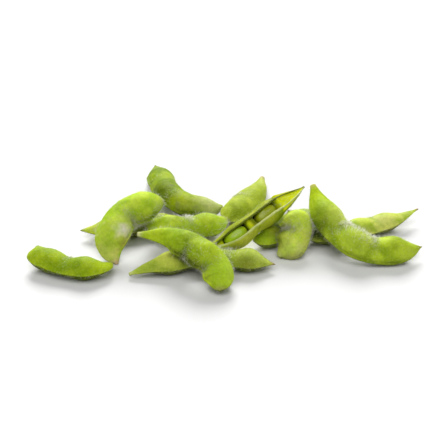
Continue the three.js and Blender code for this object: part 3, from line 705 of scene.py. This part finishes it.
def open_section(plus, minus, cheek, slit, wall, raised, sunk):
    """Outline of one section of the open wall, and the angles of its outside.

    raised is how far the spongy lining comes up towards the lips, as a share of the hollow's
    depth, and sunk is how far below them it stays.
    """
    lip = math.asin(slit ** (1 / CHEEK_POWER))
    angle = np.linspace(lip, 2 * math.pi - lip, OUT_SIDES)
    across, up = outline(np.array([plus]), np.array([minus]), np.array([cheek]), angle)
    outside = np.stack([across[0], up[0]], -1)
    chord = unit(np.gradient(outside, axis=0))
    inward = np.stack([-chord[:, 1], chord[:, 0]], -1)
    inside = outside + inward * wall
    floor = min(inside[0, 0], inside[-1, 0]) - sunk
    inside[:, 0] += raised * np.maximum(floor - inside[:, 0], 0)
    turns = np.linspace(0, math.pi, LIP_SIDES + 2)[1:-1][:, None]

    def lip_arc(k, sense):
        middle, half = (outside[k] + inside[k]) / 2, (outside[k] - inside[k]) / 2
        crest = sense * chord[k] * np.linalg.norm(half)
        return middle + half * np.cos(turns) + crest * np.sin(turns)

    return np.concatenate([outside, lip_arc(-1, 1), inside[::-1], lip_arc(0, -1)[::-1]]), angle


def marked(*spans):
    """1 on the given runs of an open section's points, and 0 elsewhere."""
    marks = np.zeros(OPEN_SIDES)
    for start, stop in spans:
        marks[start:stop] = 1
    return marks


INSIDE = marked((INSIDE_START, INSIDE_END))
BACK_LIP = marked((OUT_SIDES - 1, INSIDE_START + 1))
FRONT_LIP = marked((0, 1), (INSIDE_END - 1, OPEN_SIDES))
HEM = marked((INSIDE_START + 1, INSIDE_START + 3), (INSIDE_END - 3, INSIDE_END - 1))


def open_end_faces(rows):
    """Faces that close the wall at both ends of the open pod."""
    end = (rows - 1) * OPEN_SIDES
    faces = []
    for k in range(OUT_SIDES - 1):
        across = INSIDE_END - 1 - k
        faces.append((k, across, across - 1, k + 1))
        faces.append((end + k, end + k + 1, end + across - 1, end + across))
    back_lip = list(range(OUT_SIDES - 1, INSIDE_START + 1))
    front_lip = [0, *range(OPEN_SIDES - 1, INSIDE_END - 1, -1), INSIDE_END - 1]
    faces += [back_lip, front_lip[::-1]]
    faces += [[end + k for k in back_lip[::-1]], [end + k for k in front_lip]]
    return faces


def open_paint(pod, u, length, points, front, raised, tongue, seed):
    """Colours of the open wall: downy outside, lips, a dark hem of painted shade inside them, and the
    lining, with painted shade deep in its hollow and painted light on its tongue.
    """
    deep, body, pale = (linear(c) for c in pod["skin"])
    cloud = smooth(0.5 + 0.55 * waves(points, 9, seed + 3))[..., None]
    outer = body + (pale - body) * 0.5 * cloud + (deep - body) * 0.4 * (1 - cloud)
    cover = np.zeros((2, *points.shape[:2], 1))
    cover[0, :, :OUT_SIDES, 0] = front * bell((u - 0.24) * length / 8)[:, None]
    cover[1, :, :OUT_SIDES, 0] = 1 - front
    outer = blend(outer, linear(pod["pale_patch_tint"]), 0.9 * cover[0])
    outer = blend(outer, linear(pod["back_tint"]), 0.35 * cover[1])

    dull, bright, shade = (linear(c) for c in pod["lining"])
    # The lining's tone varies at random, and on the tongue it is painted bright: a painted light.
    tone_and_tongue_light = np.maximum(smooth(0.4 + 0.5 * waves(points, 6, seed + 4)), tongue[:, None])
    lining = blend(dull, bright, tone_and_tongue_light[..., None])
    # Between the beans the lining is painted dark: painted shade.
    shade_between_beans = smooth((u - 0.375) / 0.02) * (1 - smooth((u - 0.5) / 0.02))
    lining = blend(lining, shade, 0.8 * shade_between_beans[:, None, None])
    # Where the lining sinks deep round the beans it takes the shade colour: painted shade.
    lining = blend(shade, lining, raised[:, None, None])

    color = blend(outer, lining, INSIDE[None, :, None])
    color = blend(color, linear(pod["front_lip_tint"]), 0.95 * FRONT_LIP[None, :, None])
    color = blend(color, linear(pod["back_lip_tint"]), 0.85 * BACK_LIP[None, :, None])
    # A dark line just inside the lips: painted shade, lighter on the shallow tongue.
    hem = 0.85 * HEM[None, :, None] * (1 - 0.4 * tongue[:, None, None])
    color = blend(color, linear(pod["hem_shade_tint"]), hem)
    beak, stalk = bell((1 - u) * length / 1.4), bell(u * length / 2.5)
    color = blend(color, linear(pod["beak_tint"]), 0.8 * beak[:, None, None])
    return blend(color, linear(pod["stalk_tint"]), 0.7 * stalk[:, None, None])


def open_skin(name, pod, seed):
    """The wall of the open pod with its lining, and what its hairs need to know of it."""
    u = stations(SKIN_RINGS)
    centre, along, seamward, outward, length = cross_frames(pod, u)
    plus, minus, cheek, swell, hollow = sections(pod, u, length)
    slit = np.interp(u, *zip(*pod["slit"]))
    tongue = smooth((u - pod["tongue"]) / 0.03)
    clear = [smooth((np.abs(u - bean["at"]) * length - 4.9) / 1.4) for bean in BEANS.values()]
    raised = 0.95 * clear[0] * clear[1] + 0.05 * tongue
    sunk = 0.5 - 0.42 * tongue
    wall = np.minimum(WALL, 0.42 * cheek) * (1 - 0.5 * tongue)
    rings, angles = zip(*map(open_section, plus, minus, cheek, slit, wall, raised, sunk))
    rings, angles = np.array(rings), np.array(angles)
    points = placed(centre, seamward, outward, rings[..., 0], rings[..., 1]) + HEAP_SHIFT

    lips = FRONT_LIP + BACK_LIP
    bumps = 0.1 * waves(points, 7, seed + 1) + 0.03 * waves(points, 2, seed + 2)
    bumps = bumps * swell[:, None] * (1 - lips)[None]
    points = points + grid_normals(points) * bumps[..., None]
    front = smooth(np.sin(angles) * 2)
    color = open_paint(pod, u, length, points, front, raised, tongue, seed)
    faces = grid_faces(len(u), OPEN_SIDES)[:, ::-1]
    inner = np.tile(INSIDE + 0.5 * lips, (len(u), 1))
    skin = make_mesh(name + "_skin", points.reshape(-1, 3), faces, open_end_faces(len(u)),
                     color.reshape(-1, 3), {"Inner": inner})

    edge = np.zeros(OUT_SIDES)
    edge[:3] = edge[-3:] = 1
    near_seam = bell((angles - math.pi) / 0.16) + 0.2 * edge
    pucker = np.repeat(0.3 * hollow[:, None], OUT_SIDES, 1)
    return skin, dict(points=points[:, :OUT_SIDES], along=along, pucker=pucker, near_seam=near_seam)


def bean_mesh(name, spec, seed):
    """A plump bean with a slight kidney bend and its scar on the seam side."""
    centre, along, seamward, outward, _ = cross_frames(OPEN_POD, np.array([spec["at"]]))
    middle = centre[0] + spec["forward"] * seamward[0] + HEAP_SHIFT
    tilt = np.linspace(0.03, math.pi - 0.03, BEAN_RINGS)[:, None]
    turn = 2 * math.pi * np.arange(BEAN_SIDES)[None] / BEAN_SIDES
    x = -np.cos(tilt) * np.ones_like(turn)
    y = np.sin(tilt) * np.cos(turn)
    z = np.sin(tilt) * np.sin(turn)
    blunt = sum(np.abs(axis) ** BEAN_POWER for axis in (x, y, z)) ** (-1 / BEAN_POWER)
    x, y, z = x * blunt, y * blunt, z * blunt
    scar = bell(np.hypot(x / 0.3, z / 0.09)) * (y > 0)
    rim = bell((np.hypot(x / 0.36, z / 0.14) - 1) / 0.25) * (y > 0)
    y = y - 0.05 * (1 - x**2) * (y > 0) * y - 0.03 * scar + 0.018 * rim
    length, width, thickness = np.array(BEAN_SIZE) / 2 * BEAN_FIT
    points = middle + (x * length)[..., None] * along[0] + (y * width)[..., None] * seamward[0]
    points = points + (z * thickness)[..., None] * outward[0]
    points = points + grid_normals(points) * (0.07 * waves(points, 6, seed))[..., None]
    deep, body, pale = (linear(c) for c in spec["skin"])
    cloud = smooth(0.5 + 0.5 * waves(points, 7, seed + 1))[..., None]
    color = body + (pale - body) * cloud * 0.6 + (deep - body) * (1 - cloud) * 0.5
    color = blend(color, linear(BEAN_SCAR), 0.6 * scar[..., None])
    return make_mesh(name + "_skin", *closed_tube(points), with_ends(color))


# ----------------------------------------------------------------- materials
# The scales of the textures are per metre, and their bumps are in metres.

def node_tree(name):
    material = bpy.data.materials.new(name)
    material.use_nodes = True
    tree = material.node_tree
    shader = tree.nodes["Principled BSDF"]
    return material, tree, shader


def noise(tree, scale, detail, roughness=0.5):
    coordinates = tree.nodes.new("ShaderNodeTexCoord")
    texture = tree.nodes.new("ShaderNodeTexNoise")
    texture.inputs["Scale"].default_value = scale
    texture.inputs["Detail"].default_value = detail
    texture.inputs["Roughness"].default_value = roughness
    tree.links.new(coordinates.outputs["Object"], texture.inputs["Vector"])
    return texture.outputs["Fac"]


def cells(tree, scale):
    coordinates = tree.nodes.new("ShaderNodeTexCoord")
    texture = tree.nodes.new("ShaderNodeTexVoronoi")
    texture.inputs["Scale"].default_value = scale
    tree.links.new(coordinates.outputs["Object"], texture.inputs["Vector"])
    return texture.outputs["Distance"]


def ramp(tree, value, low, high, start=0.3, end=0.7):
    node = tree.nodes.new("ShaderNodeMapRange")
    node.inputs["From Min"].default_value = start
    node.inputs["From Max"].default_value = end
    node.inputs["To Min"].default_value = low
    node.inputs["To Max"].default_value = high
    tree.links.new(value, node.inputs["Value"])
    return node.outputs["Result"]


def mixed(tree, factor, first, second, mode="MIX"):
    node = tree.nodes.new("ShaderNodeMix")
    node.data_type = "RGBA"
    node.blend_type = mode
    for k, value in ((0, factor), (6, first), (7, second)):
        if isinstance(value, bpy.types.NodeSocket):
            tree.links.new(value, node.inputs[k])
        else:
            node.inputs[k].default_value = value
    return node.outputs[2]


def bumped(tree, height, strength, distance, below=None):
    node = tree.nodes.new("ShaderNodeBump")
    node.inputs["Strength"].default_value = strength
    node.inputs["Distance"].default_value = distance
    tree.links.new(height, node.inputs["Height"])
    if below:
        tree.links.new(below, node.inputs["Normal"])
    return node.outputs["Normal"]


def attribute(tree, name, output):
    node = tree.nodes.new("ShaderNodeAttribute")
    node.attribute_name = name
    return node.outputs[output]


def skin_material(name, fleck, roughness=0.52):
    """Living pod skin: the painted ground colour with fine mottling, flecks and pits."""
    material, tree, shader = node_tree(name)
    mottle = ramp(tree, noise(tree, 900, 4, 0.6), 0, 0.36)
    paint = attribute(tree, "Paint", "Color")
    color = mixed(tree, mottle, paint, (0.30, 0.42, 0.05, 1), "MULTIPLY")
    flecks = ramp(tree, noise(tree, 1500, 2), 0, 0.28, 0.52, 0.7)
    tree.links.new(mixed(tree, flecks, color, fleck), shader.inputs["Base Color"])
    rough = ramp(tree, noise(tree, 500, 3), roughness - 0.07, roughness + 0.1)
    tree.links.new(rough, shader.inputs["Roughness"])
    shader.inputs["Specular IOR Level"].default_value = 0.05
    shader.inputs["Subsurface Weight"].default_value = 0.22
    shader.inputs["Subsurface Radius"].default_value = (0.9, 1.1, 0.25)
    shader.inputs["Subsurface Scale"].default_value = 0.0011
    pits = bumped(tree, cells(tree, 1500), 0.5, 0.00012)
    grain = bumped(tree, noise(tree, 1400, 3), 0.3, 0.0002, below=pits)
    tree.links.new(grain, shader.inputs["Normal"])
    return material


def shell_material(name):
    """The open pod's skin outside, and an even, moist lining inside."""
    material = skin_material(name, PALE_FLECK, roughness=0.5)
    tree = material.node_tree
    roughness = tree.nodes["Principled BSDF"].inputs["Roughness"]
    node = tree.nodes.new("ShaderNodeMix")
    tree.links.new(attribute(tree, "Inner", "Fac"), node.inputs[0])
    tree.links.new(roughness.links[0].from_socket, node.inputs[2])
    node.inputs[3].default_value = 0.5
    tree.links.new(node.outputs[0], roughness)
    return material


def bean_material(name):
    """Wet, smooth bean coat."""
    material, tree, shader = node_tree(name)
    mottle = ramp(tree, noise(tree, 700, 3), 0, 0.25)
    paint = attribute(tree, "Paint", "Color")
    color = mixed(tree, mottle, paint, (0.55, 0.62, 0.05, 1), "MULTIPLY")
    tree.links.new(color, shader.inputs["Base Color"])
    tree.links.new(ramp(tree, noise(tree, 400, 2), 0.2, 0.3), shader.inputs["Roughness"])
    shader.inputs["Subsurface Weight"].default_value = 0.35
    shader.inputs["Subsurface Radius"].default_value = (1.0, 1.1, 0.3)
    shader.inputs["Subsurface Scale"].default_value = 0.0016
    shader.inputs["Coat Weight"].default_value = 0.15
    shader.inputs["Coat Roughness"].default_value = 0.16
    tree.links.new(bumped(tree, noise(tree, 500, 3), 0.12, 0.0002), shader.inputs["Normal"])
    return material


def hair_material(name):
    """Translucent down, greenish on the open skin and nearly white where it crowds."""
    material, tree, shader = node_tree(name)
    thin, crowded = ((*linear(c), 1) for c in HAIR_TINTS)
    tone = mixed(tree, attribute(tree, "Crowd", "Fac"), thin, crowded)
    tree.links.new(tone, shader.inputs["Base Color"])
    shader.inputs["Roughness"].default_value = 0.55
    shader.inputs["Specular IOR Level"].default_value = 0.3
    shader.inputs["Subsurface Weight"].default_value = 1
    shader.inputs["Subsurface Radius"].default_value = (1, 1, 0.8)
    shader.inputs["Subsurface Scale"].default_value = 0.0004
    return material


# ------------------------------------------------------------------ assembly

pod_coat = skin_material("pod_skin", PALE_FLECK)
clear_coat = skin_material("clear_pod_skin", YELLOW_FLECK)
shell_coat = shell_material("open_pod_skin")
bean_coat = bean_material("bean_coat")
down = hair_material("pod_down")


def dress(thing, material, node=None):
    """Gives a piece its material, and says what it rides on and what it replaces."""
    thing.data.materials.append(material)
    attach(thing, "root")
    if node:
        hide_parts(node)


for number, (name, pod) in enumerate(PODS.items(), 1):
    skin, facts = pod_skin(name, pod, 100 * number)
    coat = clear_coat if name in CLEAR_PODS else pod_coat
    dress(skin, coat, name)
    dress(pod_hairs(name, pod, facts, 100 * number + 50), down)

shell, facts = open_skin("open_pod_shell", OPEN_POD, 2000)
dress(shell, shell_coat, "open_pod_shell")
dress(pod_hairs("open_pod", OPEN_POD, facts, 2050), down)
for number, (name, spec) in enumerate(BEANS.items()):
    dress(bean_mesh(name, spec, 3000 + 100 * number), bean_coat, name)

# --------------------------------------------------------------------- stage

floor_mesh = bpy.data.meshes.new("floor")
corners = [(x * FLOOR_HALF, y * FLOOR_HALF, 0) for x, y in ((-1, -1), (1, -1), (1, 1), (-1, 1))]
floor_mesh.from_pydata(corners, [], [(0, 1, 2, 3)])
floor = bpy.data.objects.new("floor", floor_mesh)
bpy.context.scene.collection.objects.link(floor)
paper, _, paper_shader = node_tree("white_paper")
paper_shader.inputs["Base Color"].default_value = (PAPER_WHITE, PAPER_WHITE, PAPER_WHITE, 1)
paper_shader.inputs["Roughness"].default_value = 1
paper_shader.inputs["Specular IOR Level"].default_value = 0
floor_mesh.materials.append(paper)

world = bpy.data.worlds.new("studio")
bpy.context.scene.world = world
world.use_nodes = True
sky = world.node_tree.nodes["Background"]
sky.inputs["Color"].default_value = (1, 1, 1, 1)
sky.inputs["Strength"].default_value = SKY_STRENGTH


def sun(name, towards, strength, spread):
    """A soft sun that stands in the given direction from the heap."""
    light = bpy.data.lights.new(name, "SUN")
    light.energy = strength
    light.angle = math.radians(spread)
    lamp = bpy.data.objects.new(name, light)
    back = Vector(towards).normalized()
    lamp.rotation_mode = "QUATERNION"
    lamp.rotation_quaternion = back.to_track_quat("Z", "Y")
    lamp.location = back * 1.5
    bpy.context.scene.collection.objects.link(lamp)


for spec in SUNS:
    sun(*spec)

look_at = Vector((HEAP_SHIFT + LOOK_OFFSET) * MM)
camera_data = bpy.data.cameras.new("camera")
camera_data.lens = CAMERA_LENS
camera_data.sensor_width = 36
camera = bpy.data.objects.new("camera", camera_data)
away = Vector((0, -math.cos(CAMERA_ELEVATION), math.sin(CAMERA_ELEVATION)))
camera.location = look_at + away * CAMERA_DISTANCE
camera.rotation_mode = "QUATERNION"
camera.rotation_quaternion = away.to_track_quat("Z", "Y")
bpy.context.scene.collection.objects.link(camera)
bpy.context.scene.camera = camera
bpy.context.scene.view_settings.view_transform = "Standard"
